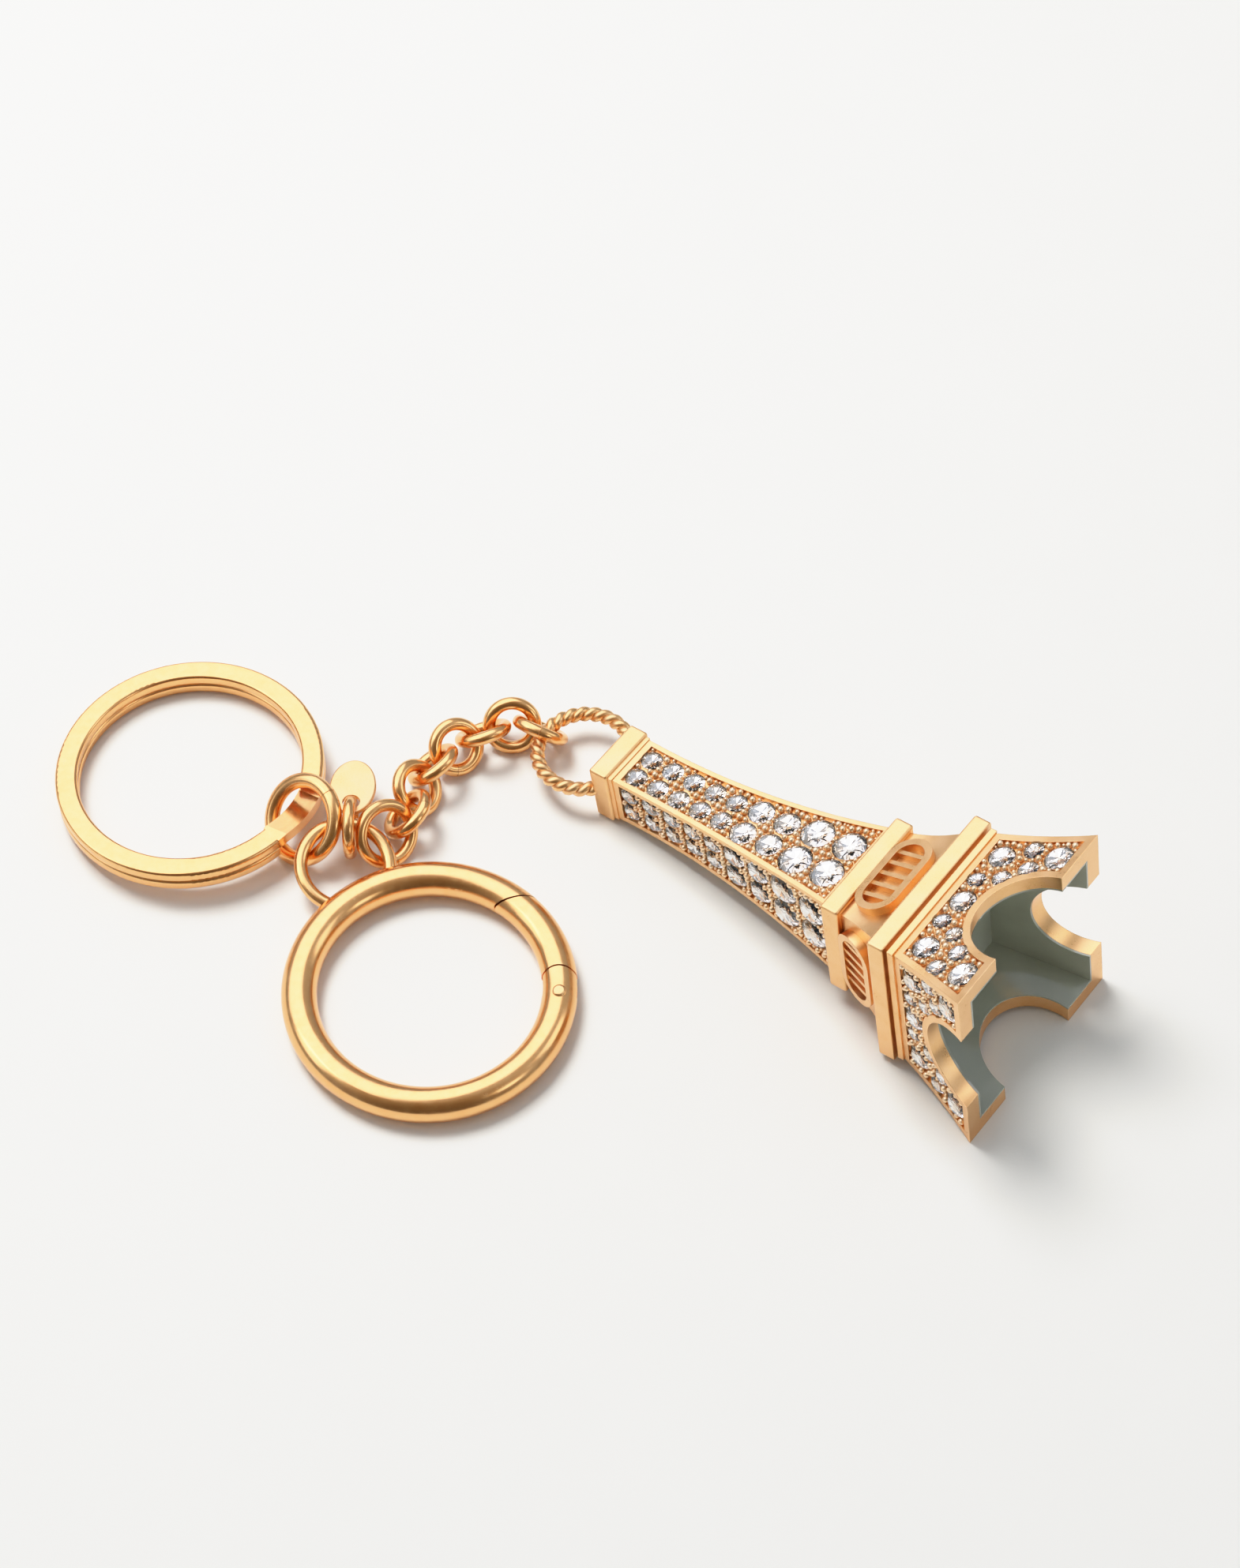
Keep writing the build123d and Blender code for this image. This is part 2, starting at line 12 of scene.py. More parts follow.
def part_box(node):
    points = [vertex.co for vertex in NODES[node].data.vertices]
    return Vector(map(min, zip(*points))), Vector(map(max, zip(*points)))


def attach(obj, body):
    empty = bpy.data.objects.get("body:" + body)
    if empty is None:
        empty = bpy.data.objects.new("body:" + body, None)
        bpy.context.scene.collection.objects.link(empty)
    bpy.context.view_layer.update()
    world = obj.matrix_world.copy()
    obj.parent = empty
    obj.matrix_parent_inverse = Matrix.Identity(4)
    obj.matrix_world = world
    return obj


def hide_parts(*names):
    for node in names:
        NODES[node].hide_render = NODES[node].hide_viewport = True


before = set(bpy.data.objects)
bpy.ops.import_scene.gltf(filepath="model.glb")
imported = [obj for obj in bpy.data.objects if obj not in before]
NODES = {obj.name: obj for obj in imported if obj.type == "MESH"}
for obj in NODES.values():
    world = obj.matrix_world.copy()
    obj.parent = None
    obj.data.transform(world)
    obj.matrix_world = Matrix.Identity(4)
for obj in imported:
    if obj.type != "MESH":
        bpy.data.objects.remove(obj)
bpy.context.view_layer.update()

# Looks for the keychain: gold finishes, cut crystals with their setting beads, enamel, and the
# twisted rope of the tower's bail. Lengths are in metres, in the part's frame.
MM = 0.001
LINKS = [f"chain_link_{number}" for number in range(1, 8)]
SIDES = range(1, 5)

# Camera: looks at a point on the table from in front and above
LOOK_AT = Vector((0.0056, 0.0161, 0.0))
CAMERA_DISTANCE = 0.42485
CAMERA_ELEVATION = 56.53
LENS = 81.53

# Soft shoulder of the picture's tones: (light, shown), where light of 1 is plain white
TONE_WHITE = 4.0
TONES = ((0.5, 0.525), (0.75, 0.725), (1.0, 0.865), (1.3, 0.935), (1.8, 0.965))

# Room light: (height, colour) low down and overhead. Towards one direction it turns dim and
# warm, between these cosines of the angle to it.
DIM_DIRECTION = (0.0, -0.87, 0.50)
DIM_COSINES = (0.50, 0.93)
ROOM_BRIGHT = 0.56
ROOM_DIM = 0.21
ROOM_WARM = (1.0, 0.79, 0.51)
LOW_SKY = (0.05, (0.43, 0.49, 0.58))
HIGH_SKY = (0.9, (0.88, 0.95, 1.05))

# Crystals
GIRDLE_LIFT = 0.05           # how far the girdle stands above the field, over the diameter
CROWN_HEIGHT = 0.15          # heights over the diameter
GIRDLE_HEIGHT = 0.03
TABLE_RADIUS = 0.56          # radii over the girdle's radius
CROWN_MIDDLE = 0.80
PAVILION_MIDDLE = 0.38
CROWN_MIDDLE_HEIGHT = 0.56   # over the crown's height
PAVILION_DEPTH = 0.92        # depth of the back's middle points, over a plain cone's
SEAT_CLEARANCE = 0.02 * MM
CRYSTAL_SPREAD = 1.08        # the girdle covers the edge of its seat

# Setting beads
GRID_STEP = 0.12 * MM        # between the places that are tried
RAY_HEIGHT = 2 * MM          # where a trial ray starts, above the field
FLOOR_TOLERANCE = 0.12 * MM  # how far off the field's level still counts as its floor
BEAD_SMALLEST = 0.20 * MM
BEAD_LARGEST = 0.42 * MM
BEAD_CROWDING = 0.92         # share of the free distance that the next bead may take
BEAD_LIFT = 0.55             # height of a bead's centre above the field, over its radius
BEAD_LOWEST = -25            # degrees of latitude
BEAD_ARC = 115
BEAD_RINGS = 5
BEAD_SIDES = 10

# Rope
ROPE_TWISTS = 13             # turns of a strand in one round of the bail's circle
STRAND_SHARE = 0.62          # a strand's radius over the rope's
STRAND_SIDES = 16
ROPE_STEPS = 720
ROPE_ENTRY = 0.05            # angle by which each strand runs on into the cap


# Mesh helpers ------------------------------------------------------------------------------

def add_piece(name, verts, faces, materials, face_slots=None, smooth=False):
    """A mesh object from lists of points and faces, in the part's frame."""
    mesh = bpy.data.meshes.new(name)
    mesh.from_pydata([tuple(v) for v in verts], [], faces)
    for material in materials:
        mesh.materials.append(material)
    if face_slots is not None:
        mesh.polygons.foreach_set("material_index", face_slots)
    mesh.polygons.foreach_set("use_smooth", [smooth] * len(faces))
    mesh.validate()
    mesh.update()
    piece = bpy.data.objects.new(name, mesh)
    bpy.context.scene.collection.objects.link(piece)
    return piece


def points_of(*names):
    """All vertices of the named CAD nodes, as one array."""
    return np.array([v.co for name in names for v in NODES[name].data.vertices], float)


def circle_through(points):
    """Centre, axis and radius of the circle that a ring's wire follows."""
    middle = points.mean(0)
    turned = np.linalg.svd(points - middle, full_matrices=False)[2]
    flat = (points - middle) @ turned[:2].T
    system = np.column_stack([2 * flat, np.ones(len(flat))])
    answer = np.linalg.lstsq(system, (flat ** 2).sum(1), rcond=None)[0]
    centre = middle + answer[:2] @ turned[:2]
    radius = math.sqrt(answer[2] + answer[0] ** 2 + answer[1] ** 2)
    return Vector(centre), Vector(turned[2]), radius


def ring_matrix(centre, axis):
    """The frame of a ring: origin at its centre, Z along its axis."""
    turn = axis.to_track_quat("Z", "Y").to_matrix().to_4x4()
    return Matrix.Translation(centre) @ turn


# Materials ----------------------------------------------------------------------------------

class Nodes:
    """A short way to build one material's node tree."""

    def __init__(self, name):
        self.material = bpy.data.materials.new(name)
        self.material.use_nodes = True
        self.tree = self.material.node_tree
        self.shader = self.tree.nodes["Principled BSDF"]

    def add(self, kind, **settings):
        node = self.tree.nodes.new(kind)
        for key, value in settings.items():
            setattr(node, key, value)
        return node

    def link(self, source, target):
        self.tree.links.new(source, target)

    def set(self, **values):
        for key, value in values.items():
            self.shader.inputs[key.replace("_", " ")].default_value = value

    def math(self, operation, first, second=None):
        node = self.add("ShaderNodeMath", operation=operation)
        for socket, value in zip(node.inputs, (first, second)):
            if value is None:
                continue
            if isinstance(value, (int, float)):
                socket.default_value = value
            else:
                self.link(value, socket)
        return node.outputs[0]

    def coordinates(self):
        return self.add("ShaderNodeTexCoord").outputs["Object"]

    def noise(self, vector, scale, detail=3.0, roughness=0.5):
        node = self.add("ShaderNodeTexNoise")
        node.inputs["Scale"].default_value = scale
        node.inputs["Detail"].default_value = detail
        node.inputs["Roughness"].default_value = roughness
        self.link(vector, node.inputs["Vector"])
        return node.outputs["Fac"]

    def spread(self, value, low, high, new_low, new_high):
        """Maps a value between low and high onto a new range."""
        node = self.add("ShaderNodeMapRange")
        for socket, number in zip(node.inputs[1:5], (low, high, new_low, new_high)):
            socket.default_value = number
        self.link(value, node.inputs[0])
        return node.outputs[0]

    def ramp(self, value, stops):
        """A colour for each value, from (position, colour) stops."""
        stops = list(stops)
        node = self.add("ShaderNodeValToRGB")
        elements = node.color_ramp.elements
        while len(elements) < len(stops):
            elements.new(0.5)
        for element, (position, colour) in zip(elements, stops):
            element.position = position
            element.color = (*colour, 1.0)
        self.link(value, node.inputs["Fac"])
        return node.outputs["Color"]

    def bump(self, height, distance, strength=1.0, normal=None):
        node = self.add("ShaderNodeBump")
        node.inputs["Strength"].default_value = strength
        node.inputs["Distance"].default_value = distance
        self.link(height, node.inputs["Height"])
        if normal is not None:
            self.link(normal, node.inputs["Normal"])
        return node.outputs["Normal"]

    def finish(self, colour, roughness, normal=None):
        self.link(colour, self.shader.inputs["Base Color"])
        self.link(roughness, self.shader.inputs["Roughness"])
        if normal is not None:
            self.link(normal, self.shader.inputs["Normal"])
        return self.material


# Gold colours, from the darker to the lighter
WIRE_GOLD = ((0.90, 0.43, 0.155), (0.93, 0.49, 0.20))
CAST_GOLD = ((0.82, 0.425, 0.16), (0.89, 0.50, 0.22), (0.93, 0.57, 0.30))
# The beads' gold is a paler copy of the cast gold: painted light that stands in for the bright
# highlights on the beads
BEAD_GOLD = ((0.95, 0.58, 0.30), (1.00, 0.69, 0.42), (1.00, 0.79, 0.56))


def wire_gold(name, centre, axis):
    """Polished gold on one ring: fine drawing marks that run along the wire."""
    nodes = Nodes(name)
    nodes.set(Metallic=1.0)
    place = nodes.coordinates()
    mapping = nodes.add("ShaderNodeMapping", vector_type="TEXTURE")
    location, turn, _ = ring_matrix(centre, axis).decompose()
    mapping.inputs["Location"].default_value = location
    mapping.inputs["Rotation"].default_value = turn.to_euler()
    nodes.link(place, mapping.inputs["Vector"])
    split = nodes.add("ShaderNodeSeparateXYZ")
    nodes.link(mapping.outputs["Vector"], split.inputs["Vector"])
    x, y, z = split.outputs
    squares = nodes.math("ADD", nodes.math("MULTIPLY", x, x), nodes.math("MULTIPLY", y, y))
    distance = nodes.math("SQRT", squares)
    around = nodes.add("ShaderNodeCombineXYZ")
    nodes.link(distance, around.inputs[0])
    nodes.link(z, around.inputs[1])
    stretch = nodes.add("ShaderNodeVectorMath", operation="MULTIPLY_ADD")
    nodes.link(mapping.outputs["Vector"], stretch.inputs[0])
    stretch.inputs[1].default_value = (0.06, 0.06, 0.06)
    nodes.link(around.outputs[0], stretch.inputs[2])
    streaks = nodes.noise(stretch.outputs[0], 1500.0, detail=4.0, roughness=0.6)
    dents = nodes.noise(place, 260.0, detail=2.0)
    haze = nodes.noise(place, 900.0, detail=5.0, roughness=0.65)
    colour = nodes.ramp(haze, zip((0.30, 0.72), WIRE_GOLD))
    both = nodes.math("ADD", nodes.math("MULTIPLY", streaks, 0.6), nodes.math("MULTIPLY", haze, 0.4))
    roughness = nodes.spread(both, 0.30, 0.72, 0.13, 0.30)
    soft = nodes.bump(dents, 0.05 * MM, 0.35)
    fine = nodes.bump(streaks, 0.012 * MM, 0.6, soft)
    return nodes.finish(colour, roughness, fine)


def cast_gold(name, grain=1.0, round_edges=0.12 * MM, colours=CAST_GOLD):
    """Satin gold over a cast surface, with softened and slightly polished edges, painted paler along
    them as a painted highlight.
    """
    nodes = Nodes(name)
    nodes.set(Metallic=1.0)
    place = nodes.coordinates()
    clouds = nodes.noise(place, 320.0, detail=3.0)
    grains = nodes.noise(place, 5200.0, detail=4.0, roughness=0.7)
    rounded = nodes.add("ShaderNodeBevel", samples=4)
    rounded.inputs["Radius"].default_value = round_edges
    flat = nodes.add("ShaderNodeNewGeometry").outputs["Normal"]
    compare = nodes.add("ShaderNodeVectorMath", operation="DOT_PRODUCT")
    nodes.link(rounded.outputs["Normal"], compare.inputs[0])
    nodes.link(flat, compare.inputs[1])
    edge = nodes.spread(compare.outputs["Value"], 0.995, 0.90, 0.0, 1.0)
    mixed = nodes.math("ADD", nodes.math("MULTIPLY", clouds, 0.6), nodes.math("MULTIPLY", grains, 0.4))
    # Painted highlight: the edges get a paler colour. Their lower roughness, below, is the real polish
    tone = nodes.math("ADD", mixed, nodes.math("MULTIPLY", edge, 0.25))
    colour = nodes.ramp(tone, zip((0.32, 0.52, 0.80), colours))
    base_roughness = nodes.spread(mixed, 0.30, 0.70, 0.24, 0.40)
    roughness = nodes.math("SUBTRACT", base_roughness, nodes.math("MULTIPLY", edge, 0.10))
    soft = nodes.bump(clouds, 0.08 * MM, 0.30 * grain, rounded.outputs["Normal"])
    fine = nodes.bump(grains, 0.010 * MM, 0.55 * grain, soft)
    return nodes.finish(colour, roughness, fine)


def crystal_glass():
    """The clear crown of a cut crystal, with faint polishing haze."""
    nodes = Nodes("crystal_glass")
    nodes.set(IOR=1.58, Transmission_Weight=1.0)
    place = nodes.coordinates()
    haze = nodes.noise(place, 1400.0, detail=3.0)
    colour = nodes.ramp(haze, [(0.3, (0.97, 0.98, 1.0)), (0.7, (1.0, 1.0, 1.0))])
    return nodes.finish(colour, nodes.spread(haze, 0.35, 0.70, 0.0, 0.03))


def crystal_foil():
    """The silvered back of a crystal, slightly uneven, with a painted reflection of its gold seat as a
    warm tint in some spots.
    """
    nodes = Nodes("crystal_foil")
    nodes.set(Metallic=1.0)
    place = nodes.coordinates()
    spots = nodes.noise(place, 900.0, detail=3.0)
    # The first, warm tint is a painted reflection of the gold seat, placed at random by the spots
    tints = ((0.80, 0.66, 0.52), (0.86, 0.82, 0.78), (0.93, 0.93, 0.94))
    colour = nodes.ramp(spots, zip((0.36, 0.50, 0.62), tints))
    return nodes.finish(colour, nodes.spread(spots, 0.35, 0.70, 0.02, 0.08))


def enamel():
    """Glossy grey-green enamel, poured, so a little uneven in tone and level."""
    nodes = Nodes("sage_enamel")
    nodes.set(IOR=1.52, Coat_Weight=0.5, Coat_Roughness=0.04)
    place = nodes.coordinates()
    pools = nodes.noise(place, 140.0, detail=3.0)
    ripple = nodes.noise(place, 420.0, detail=2.0)
    colour = nodes.ramp(pools, [(0.3, (0.35, 0.375, 0.295)), (0.7, (0.42, 0.445, 0.36))])
    level = nodes.bump(ripple, 0.10 * MM, 0.35)
    return nodes.finish(colour, nodes.spread(pools, 0.3, 0.7, 0.08, 0.16), level)


def spring_steel():
    """Bare bright steel with a fine grain."""
    nodes = Nodes("spring_steel")
    nodes.set(Metallic=1.0)
    place = nodes.coordinates()
    marks = nodes.noise(place, 4000.0, detail=3.0)
    colour = nodes.ramp(marks, [(0.3, (0.42, 0.42, 0.44)), (0.7, (0.66, 0.66, 0.68))])
    return nodes.finish(colour, nodes.spread(marks, 0.3, 0.7, 0.22, 0.38))


def table_surface():
    """Plain off-white card."""
    nodes = Nodes("table_card")
    place = nodes.coordinates()
    mottle = nodes.noise(place, 60.0, detail=5.0)
    fibre = nodes.noise(place, 3000.0, detail=2.0)
    colour = nodes.ramp(mottle, [(0.3, (0.945, 0.935, 0.890)), (0.7, (0.96, 0.950, 0.905))])
    return nodes.finish(colour, nodes.spread(mottle, 0.3, 0.7, 0.85, 0.95),
                        nodes.bump(fibre, 0.02 * MM, 0.5))


def dress(material, *names):
    """Gives CAD nodes a finished material."""
    for name in names:
        data = NODES[name].data
        data.materials.clear()
        data.materials.append(material)


# Crystals -----------------------------------------------------------------------------------

def islands(node):
    """The points of each separate crystal in a CAD node."""
    mesh = bmesh.new()
    mesh.from_mesh(NODES[node].data)
    bmesh.ops.remove_doubles(mesh, verts=mesh.verts, dist=1e-7)
    seen = set()
    groups = []
    for start in mesh.verts:
        if start in seen:
            continue
        group = []
        waiting = [start]
        seen.add(start)
        while waiting:
            vertex = waiting.pop()
            group.append(tuple(vertex.co))
            for edge in vertex.link_edges:
                other = edge.other_vert(vertex)
                if other not in seen:
                    seen.add(other)
                    waiting.append(other)
        groups.append(np.array(group))
    mesh.free()
    return groups


def measure_stone(points):
    """One crystal's girdle centre, outward axis, radius, and depth below the girdle."""
    middle = points.mean(0)
    axis = np.linalg.svd(points - middle, full_matrices=False)[2][2]
    heights = (points - middle) @ axis
    across = np.linalg.norm((points - middle) - np.outer(heights, axis), axis=1)
    top = across[heights > heights.max() - 1e-6].max()
    bottom = across[heights < heights.min() + 1e-6].max()
    if top > bottom:
        axis = -axis
        heights = -heights
    radius = across.max()
    girdle = heights[across > radius - 1e-6].max()
    centre = middle + axis * girdle
    return Vector(centre), Vector(axis), radius, girdle - heights.min()


class Mesh:
    """Points, faces and the material of each face, gathered for one piece."""

    def __init__(self):
        self.verts = []
        self.faces = []
        self.slots = []

    def add(self, verts, faces, slot=0, matrix=None):
        first = len(self.verts)
        if matrix is not None:
            verts = [matrix @ Vector(v) for v in verts]
        self.verts.extend(verts)
        self.faces.extend(tuple(first + i for i in face) for face in faces)
        self.slots.extend([slot] * len(faces))

    def piece(self, name, materials, smooth=False):
        return add_piece(name, self.verts, self.faces, materials, self.slots, smooth)


def wall_faces(rings, sides):
    """The four-cornered faces between rings of points that lie one after the other."""
    faces = []
    for level in range(rings - 1):
        low = level * sides
        for k in range(sides):
            after = (k + 1) % sides
            faces.append((low + k, low + after, low + sides + after, low + sides + k))
    return faces


def ring_points(radius, height, count, turn=0.0):
    """Points round a circle, from an angle of turn steps on."""
    steps = [2 * math.pi * (number + turn) / count for number in range(count)]
    return [(radius * math.cos(a), radius * math.sin(a), height) for a in steps]


def cut_crystal(radius, depth):
    """A round brilliant with its girdle's top at z = 0: crown faces, then foil faces."""
    crown = 2 * radius * CROWN_HEIGHT
    girdle = 2 * radius * GIRDLE_HEIGHT
    table = ring_points(radius * TABLE_RADIUS, crown, 8)
    middles = ring_points(radius * CROWN_MIDDLE, crown * CROWN_MIDDLE_HEIGHT, 8, 0.5)
    rim = ring_points(radius, 0.0, 16)
    lower_rim = ring_points(radius, -girdle, 16)
    slope_middle = -girdle - (depth - girdle) * (1 - PAVILION_MIDDLE) * PAVILION_DEPTH
    backs = ring_points(radius * PAVILION_MIDDLE, slope_middle, 8, 0.5)
    verts = table + middles + rim + lower_rim + backs + [(0.0, 0.0, -depth)]
    mid, top_rim, low_rim, back, culet = 8, 16, 32, 48, 56
    clear = [tuple(range(8))]
    foil = []
    for k in range(8):
        after = (k + 1) % 8
        before = (k - 1) % 8
        even = 2 * k
        odd = 2 * k + 1
        nxt = (2 * k + 2) % 16
        clear.append((k, mid + k, after))
        clear.append((k, mid + before, top_rim + even, mid + k))
        clear.append((mid + k, top_rim + even, top_rim + odd))
        clear.append((mid + k, top_rim + odd, top_rim + nxt))
        foil.append((top_rim + even, low_rim + even, low_rim + odd, top_rim + odd))
        foil.append((top_rim + odd, low_rim + odd, low_rim + nxt, top_rim + nxt))
        foil.append((back + k, low_rim + odd, low_rim + even))
        foil.append((back + k, low_rim + nxt, low_rim + odd))
        foil.append((culet, back + k, low_rim + even, back + before))
    return verts, clear, foil


def add_crystal(mesh, stone, chance):
    """One cut crystal in its seat, turned by chance about its own axis."""
    centre, axis, radius, seat = stone
    lift = 2 * radius * GIRDLE_LIFT
    verts, clear, foil = cut_crystal(radius * CRYSTAL_SPREAD, lift + seat - SEAT_CLEARANCE)
    turn = Matrix.Rotation(chance.uniform(0, math.tau), 4, "Z")
    matrix = ring_matrix(centre + axis * lift, axis) @ turn
    mesh.add(verts, clear, 0, matrix)
    mesh.add(verts, foil, 1, matrix)


# Setting beads ------------------------------------------------------------------------------

class Side:
    """One side of the tower: U across, V from the feet to the cap, W straight out."""

    def __init__(self, stones, start, along):
        out = sum((stone[1] for stone in stones), Vector())
        self.along = along
        self.out = (out - along * out.dot(along)).normalized()
        self.across = along.cross(self.out)
        self.start = start

    def local(self, point):
        offset = point - self.start
        return offset.dot(self.across), offset.dot(self.along), offset.dot(self.out)

    def world(self, u, v, w):
        return self.start + self.across * u + self.along * v + self.out * w


def open_floor(side, stones, node):
    """Grid places on the field, each with its room to the nearest wall or crystal."""
    tree = BVHTree.FromPolygons([v.co for v in NODES[node].data.vertices],
                                [tuple(p.vertices) for p in NODES[node].data.polygons])
    places = np.array([side.local(stone[0]) for stone in stones])
    fit = np.polyfit(places[:, 1], places[:, 2], 2)
    radii = np.array([stone[2] for stone in stones]) * CRYSTAL_SPREAD
    low = places.min(0) - 2 * radii.max()
    high = places.max(0) + 2 * radii.max()
    walls = []
    floor = []
    for u in np.arange(low[0], high[0], GRID_STEP):
        for v in np.arange(low[1], high[1], GRID_STEP):
            level = np.polyval(fit, v)
            hit, normal, _, _ = tree.ray_cast(side.world(u, v, level + RAY_HEIGHT), -side.out)
            taken = (np.hypot(places[:, 0] - u, places[:, 1] - v) < radii).any()
            if not taken and hit is not None and abs(side.local(hit)[2] - level) < FLOOR_TOLERANCE:
                floor.append((u, v, hit, normal))
            else:
                walls.append((u, v))
    near = KDTree(len(walls))
    for number, (u, v) in enumerate(walls):
        near.insert((u, v, 0.0), number)
    near.balance()
    return [(near.find((u, v, 0.0))[2], u, v, hit, normal) for u, v, hit, normal in floor]


def fill_gaps(places):
    """Chooses round spots, largest first, that fill the open floor without touching."""
    places = sorted(places, key=lambda place: -place[0])
    rooms = np.array([place[0] for place in places])
    flat = np.array([(place[1], place[2]) for place in places])
    chosen = []
    while rooms.max() > BEAD_SMALLEST:
        best = int(rooms.argmax())
        radius = min(rooms[best], BEAD_LARGEST)
        chosen.append((radius, places[best][3], places[best][4]))
        distance = np.linalg.norm(flat - flat[best], axis=1) - radius
        rooms = np.minimum(rooms, distance * BEAD_CROWDING)
    return chosen


def add_bead(mesh, place, normal, radius):
    """A small domed grain of gold, standing on the field."""
    matrix = ring_matrix(place, normal)
    verts = []
    for level in range(BEAD_RINGS):
        angle = math.radians(BEAD_LOWEST + BEAD_ARC * level / BEAD_RINGS)
        height = radius * (BEAD_LIFT + math.sin(angle))
        verts += ring_points(radius * math.cos(angle), height, BEAD_SIDES)
    verts.append((0.0, 0.0, radius * (BEAD_LIFT + 1)))
    faces = wall_faces(BEAD_RINGS, BEAD_SIDES)
    last = (BEAD_RINGS - 1) * BEAD_SIDES
    for k in range(BEAD_SIDES):
        faces.append((last + k, last + (k + 1) % BEAD_SIDES, len(verts) - 1))
    faces.append(tuple(reversed(range(BEAD_SIDES))))
    mesh.add(verts, faces, 0, matrix)


def set_stones(part, number, node, start, along, materials, bead_gold):
    """Cut crystals and setting beads for one side of the shaft or the base."""
    name = f"{part}_crystals_{number}"
    chance = random.Random(name)
    stones = [measure_stone(points) for points in islands(name)]
    gems = Mesh()
    beads = Mesh()
    for stone in stones:
        add_crystal(gems, stone, chance)
    side = Side(stones, start, along)
    for radius, place, normal in fill_gaps(open_floor(side, stones, node)):
        add_bead(beads, place, normal, radius)
    gem_piece = gems.piece(f"{part}_gems_{number}", materials)
    bead_piece = beads.piece(f"{part}_beads_{number}", [bead_gold], smooth=True)
    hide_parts(name)
    for piece, slot in ((gem_piece, "crystal"), (bead_piece, "satin_gold")):
        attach(piece, "tower")


def tower_axis():
    """A point on the tower's axis and the direction from its feet to its cap."""
    low = points_middle("base")
    high = points_middle("shaft")
    return low, (high - low).normalized()


def points_middle(part):
    """The mean place of all crystals of the shaft or the base."""
    stones = [points for number in SIDES for points in islands(f"{part}_crystals_{number}")]
    centres = [measure_stone(points)[0] for points in stones]
    return sum(centres, Vector()) / len(centres)


# Rope bail ----------------------------------------------------------------------------------

def tube(path, radius, sides):
    """A closed tube along a path of points."""
    path = np.array(path)
    tangents = np.gradient(path, axis=0)
    tangents /= np.linalg.norm(tangents, axis=1)[:, None]
    normal = np.cross(tangents[0], (0.3, 0.5, 0.8))
    verts = []
    for point, tangent in zip(path, tangents):
        normal = normal - tangent * normal.dot(tangent)
        normal /= np.linalg.norm(normal)
        binormal = np.cross(tangent, normal)
        for k in range(sides):
            angle = math.tau * k / sides
            verts.append(point + radius * (math.cos(angle) * normal + math.sin(angle) * binormal))
    faces = wall_faces(len(path), sides)
    faces.append(tuple(reversed(range(sides))))
    faces.append(tuple(range(len(verts) - sides, len(verts))))
    return verts, faces


def rope_bail(gold):
    """Two strands twisted round each other, along the bail's circle."""
    points = points_of("rope_bail")
    centre, axis, radius = circle_through(points)
    cap_low, cap_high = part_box("top_cap")
    out = centre - (cap_low + cap_high) / 2
    out = (out - axis * out.dot(axis)).normalized()
    side = axis.cross(out)
    offsets = points - np.array(centre)
    angles = np.arctan2(offsets @ np.array(side), offsets @ np.array(out))
    reach = np.abs(angles).max() + ROPE_ENTRY
    heights = offsets @ np.array(axis)
    rope_radius = (heights.max() - heights.min()) / 2
    strand = rope_radius * STRAND_SHARE
    spread = rope_radius - strand
    mesh = Mesh()
    for phase in (0.0, math.pi):
        path = []
        for angle in np.linspace(-reach, reach, ROPE_STEPS):
            twist = ROPE_TWISTS * angle + phase
            away = out * math.cos(angle) + side * math.sin(angle)
            distance = radius + spread * math.cos(twist)
            path.append(centre + away * distance + axis * spread * math.sin(twist))
        mesh.add(*tube(path, strand, STRAND_SIDES))
    rope = mesh.piece("twisted_bail", [gold], smooth=True)
    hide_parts("rope_bail")
    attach(rope, "tower")


# Stage --------------------------------------------------------------------------------------

def set_tones():
    """A soft shoulder, so that bright gold goes to cream as it does in a studio picture."""
    view = bpy.context.scene.view_settings
    view.view_transform = "Standard"
    view.use_curve_mapping = True
    mapping = view.curve_mapping
    mapping.white_level = (TONE_WHITE, TONE_WHITE, TONE_WHITE)
    curve = mapping.curves[3]
    for light, shown in TONES:
        curve.points.new(light / TONE_WHITE, shown)
    mapping.update()


def add_camera():
    """The camera in front of the table, looking down at LOOK_AT."""
    data = bpy.data.cameras.new("camera")
    data.sensor_fit = "VERTICAL"
    data.sensor_height = 36.0
    data.lens = LENS
    data.clip_start = 0.01
    data.clip_end = 20.0
    camera = bpy.data.objects.new("camera", data)
    elevation = math.radians(CAMERA_ELEVATION)
    back = Vector((0.0, -math.cos(elevation), math.sin(elevation)))
    camera.location = LOOK_AT + back * CAMERA_DISTANCE
    camera.rotation_euler = (math.pi / 2 - elevation, 0.0, 0.0)
    bpy.context.scene.collection.objects.link(camera)
    bpy.context.scene.camera = camera


def add_softbox(name, place, size, power, colour=(1.0, 1.0, 1.0), mirrored=True, lighting=True):
    """A soft light that faces the object. Metal shows it if mirrored, matt things if lighting."""
    data = bpy.data.lights.new(name, "AREA")
    data.shape = "RECTANGLE"
    data.size, data.size_y = size
    data.energy = power
    data.color = colour
    light = bpy.data.objects.new(name, data)
    light.location = place
    light.rotation_euler = (Vector(place) - LOOK_AT).to_track_quat("Z", "Y").to_euler()
    light.visible_glossy = mirrored
    light.visible_diffuse = lighting
    bpy.context.scene.collection.objects.link(light)


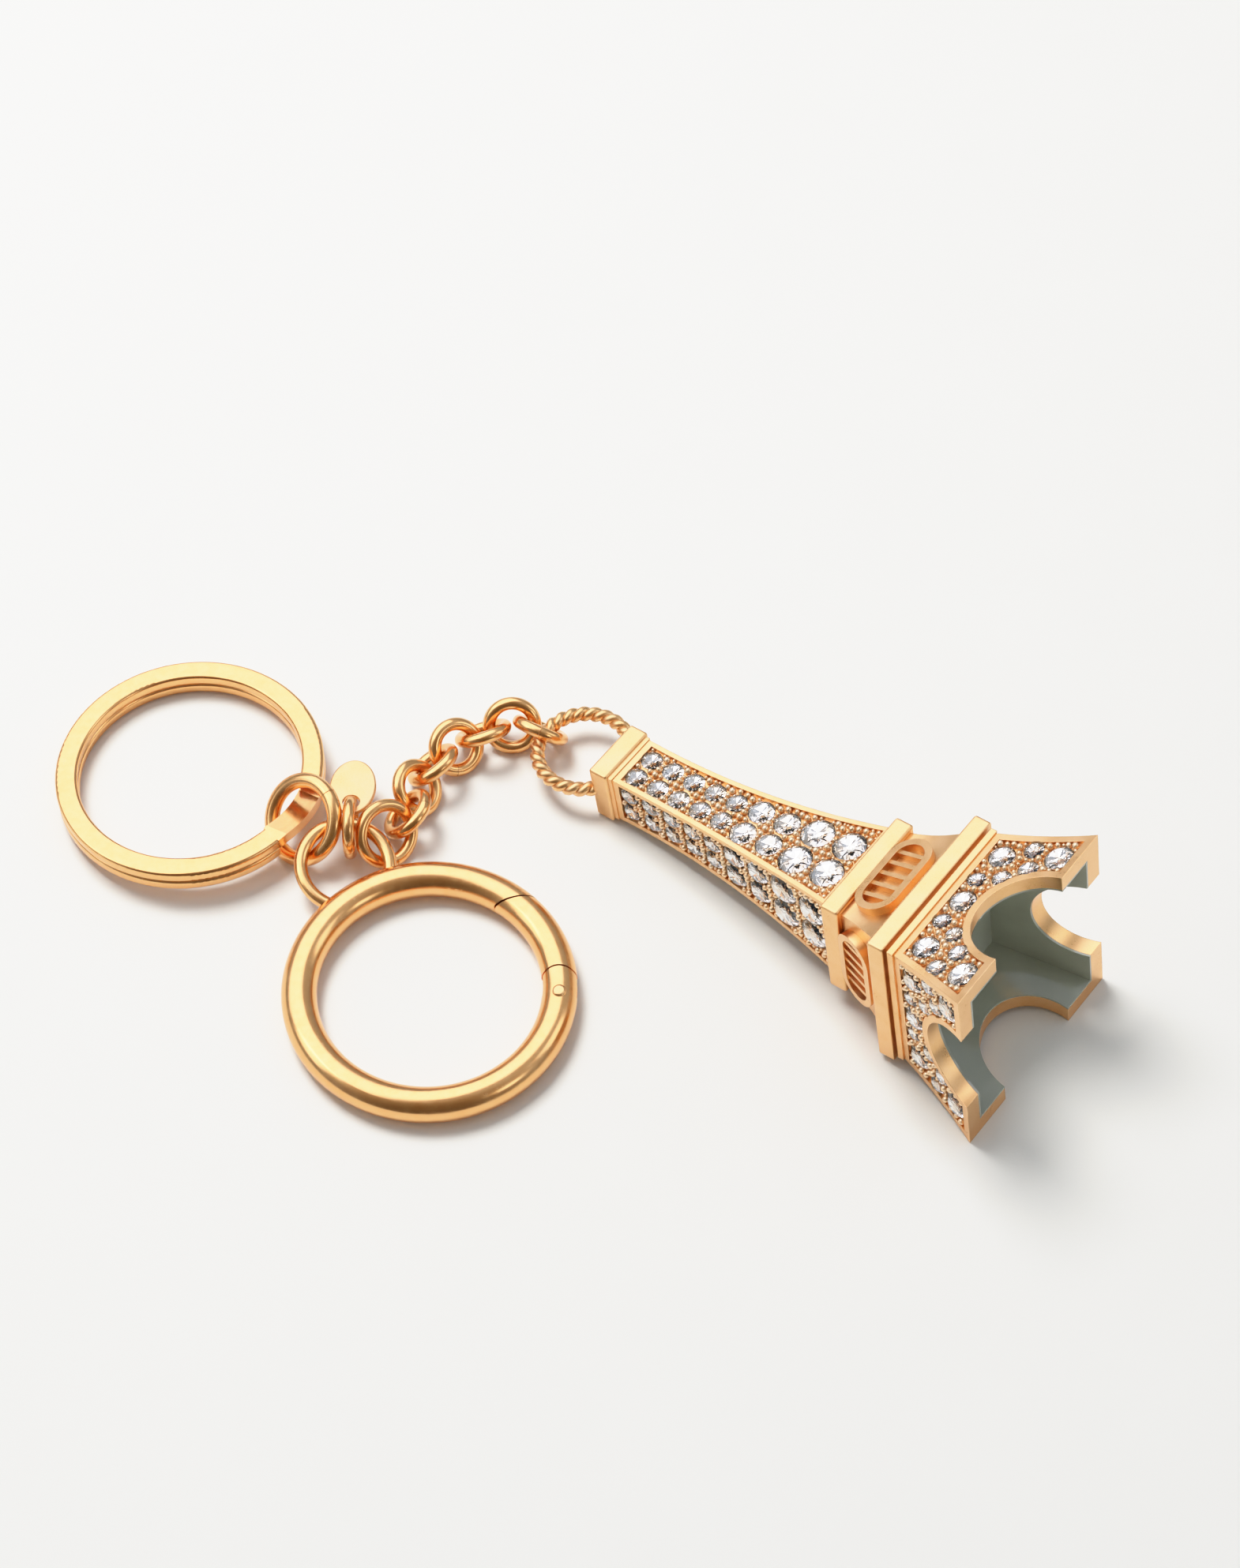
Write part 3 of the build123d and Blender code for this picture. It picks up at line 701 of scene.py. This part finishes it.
def add_room():
    """Soft light from all round: brightest overhead, dim low down in front of the table."""
    world = bpy.data.worlds.new("room")
    bpy.context.scene.world = world
    world.use_nodes = True
    tree = world.node_tree
    place = tree.nodes.new("ShaderNodeTexCoord")
    upward = tree.nodes.new("ShaderNodeSeparateXYZ")
    overhead = tree.nodes.new("ShaderNodeValToRGB")
    facing = tree.nodes.new("ShaderNodeVectorMath")
    facing.operation = "DOT_PRODUCT"
    facing.inputs[1].default_value = DIM_DIRECTION
    dimmed = tree.nodes.new("ShaderNodeMapRange")
    for socket, number in zip(dimmed.inputs[1:5], (*DIM_COSINES, ROOM_BRIGHT, ROOM_DIM)):
        socket.default_value = number
    warmth = tree.nodes.new("ShaderNodeMapRange")
    for socket, number in zip(warmth.inputs[1:5], (*DIM_COSINES, 0.0, 1.0)):
        socket.default_value = number
    tinted = tree.nodes.new("ShaderNodeMix")
    tinted.data_type = "RGBA"
    tinted.blend_type = "MULTIPLY"
    tinted.inputs[7].default_value = (*ROOM_WARM, 1.0)
    background = tree.nodes["Background"]
    tree.links.new(place.outputs["Generated"], upward.inputs[0])
    tree.links.new(upward.outputs["Z"], overhead.inputs["Fac"])
    tree.links.new(place.outputs["Generated"], facing.inputs[0])
    tree.links.new(facing.outputs["Value"], dimmed.inputs[0])
    for element, (position, colour) in zip(overhead.color_ramp.elements, (LOW_SKY, HIGH_SKY)):
        element.position = position
        element.color = (*colour, 1.0)
    tree.links.new(facing.outputs["Value"], warmth.inputs[0])
    tree.links.new(warmth.outputs["Result"], tinted.inputs[0])
    tree.links.new(overhead.outputs["Color"], tinted.inputs[6])
    tree.links.new(tinted.outputs[2], background.inputs["Color"])
    tree.links.new(dimmed.outputs["Result"], background.inputs["Strength"])


def add_table():
    """A plain sheet of card, just under the lowest point."""
    half = 1.5
    corners = [(-half, -half, 0.0), (half, -half, 0.0), (half, half, 0.0), (-half, half, 0.0)]
    table = add_piece("table", corners, [(0, 1, 2, 3)], [table_surface()])
    table.location.z = -0.02 * MM


def add_lights():
    """Broad highlights for the metal, and a smaller light for firm shadows on the table."""
    cool, warm = (1.0, 0.965, 1.06), (1.0, 0.975, 0.94)
    add_softbox("key_in_metal", (-0.26, 0.32, 0.62), (1.05, 0.95), 5.5, cool, lighting=False)
    add_softbox("key_on_table", (-0.22, 0.27, 0.62), (0.28, 0.28), 5.0, warm, mirrored=False)
    add_softbox("fill_left", (-0.60, -0.05, 0.45), (0.30, 0.45), 0.7, lighting=False)
    add_softbox("fill_right", (0.60, 0.05, 0.40), (0.25, 0.40), 0.45, lighting=False)
    add_softbox("fill_front_right", (0.42, -0.34, 0.36), (0.16, 0.16), 0.2, lighting=False)


# Everything ---------------------------------------------------------------------------------

def dress_rings():
    """Each ring of wire gets gold whose drawing marks follow that ring."""
    groups = [("gate_ring_body", "gate_arm")]
    groups += [(name,) for name in ("ring_eye", "split_jump_ring", "tag_ring", "chain_ring", *LINKS)]
    groups.append(("split_ring",))
    for names in groups:
        centre, axis, _ = circle_through(points_of(*names))
        dress(wire_gold(f"gold_{names[0]}", centre, axis), *names)


def main():
    set_tones()
    add_camera()
    add_room()
    add_table()
    add_lights()
    dress_rings()
    satin = cast_gold("satin_gold")
    polished = cast_gold("polished_gold", grain=0.4, round_edges=0.05 * MM)
    dress(satin, "top_cap", "tower_shaft", "upper_band", "middle_block", "lower_band", "tower_base")
    dress(polished, "gate_pivot_pin", "oval_tag", *(f"side_ornament_{number}" for number in SIDES))
    dress(enamel(), "enamel_lining")
    dress(spring_steel(), "gate_spring")
    crystal = [crystal_glass(), crystal_foil()]
    dress(crystal[0], *(f"{part}_crystals_{number}" for part in ("shaft", "base") for number in SIDES))
    # Paler gold for the beads, a painted highlight
    bead_gold = cast_gold("bead_gold", grain=0.3, round_edges=0.02 * MM, colours=BEAD_GOLD)
    dress(satin, "rope_bail")
    start, along = tower_axis()
    for number in SIDES:
        set_stones("shaft", number, "tower_shaft", start, along, crystal, bead_gold)
        set_stones("base", number, "tower_base", start, along, crystal, bead_gold)
    rope_bail(cast_gold("rope_gold", grain=0.3, round_edges=0.02 * MM))


main()
